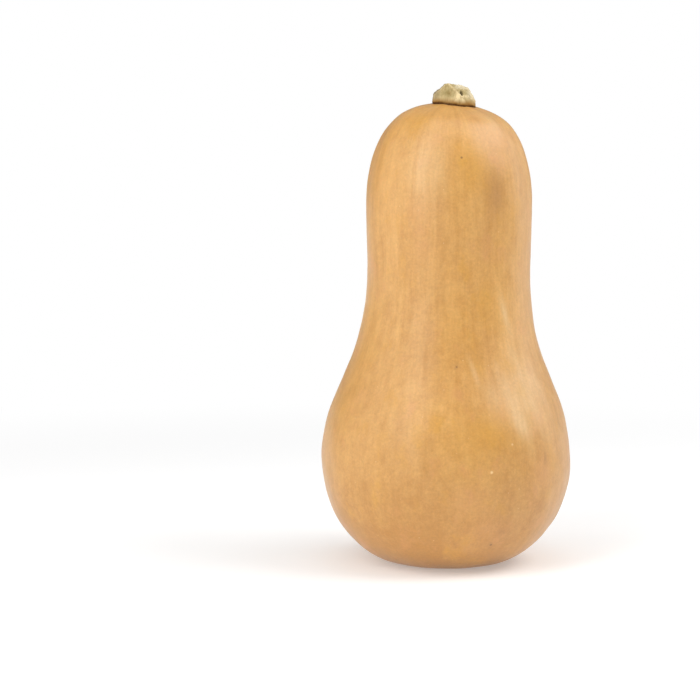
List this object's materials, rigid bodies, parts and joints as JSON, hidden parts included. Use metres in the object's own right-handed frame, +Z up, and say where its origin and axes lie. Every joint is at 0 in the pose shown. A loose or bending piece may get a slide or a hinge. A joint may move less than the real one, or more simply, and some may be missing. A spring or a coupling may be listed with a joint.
{
  "type": "butternut squash",
  "caption": "Whole butternut squash with a round seed end, a straight neck and a short cut stem, standing upright on its blossom end.",
  "frame": {"origin": "middle of the blossom end's flat ring, on the surface that the squash stands on", "axes": "+Z up from the blossom end to the stem; -Y is the side that faces the viewer in the picture; +X is that viewer's right"},
  "size_m": [0.1299, 0.1302, 0.2481],
  "materials": {
    "rind": "satin",
    "stem_cork": "matte"
  },
  "bodies": {
    "root": {"fruit": "rind", "stem": "stem_cork"}
  },
  "joints": []
}
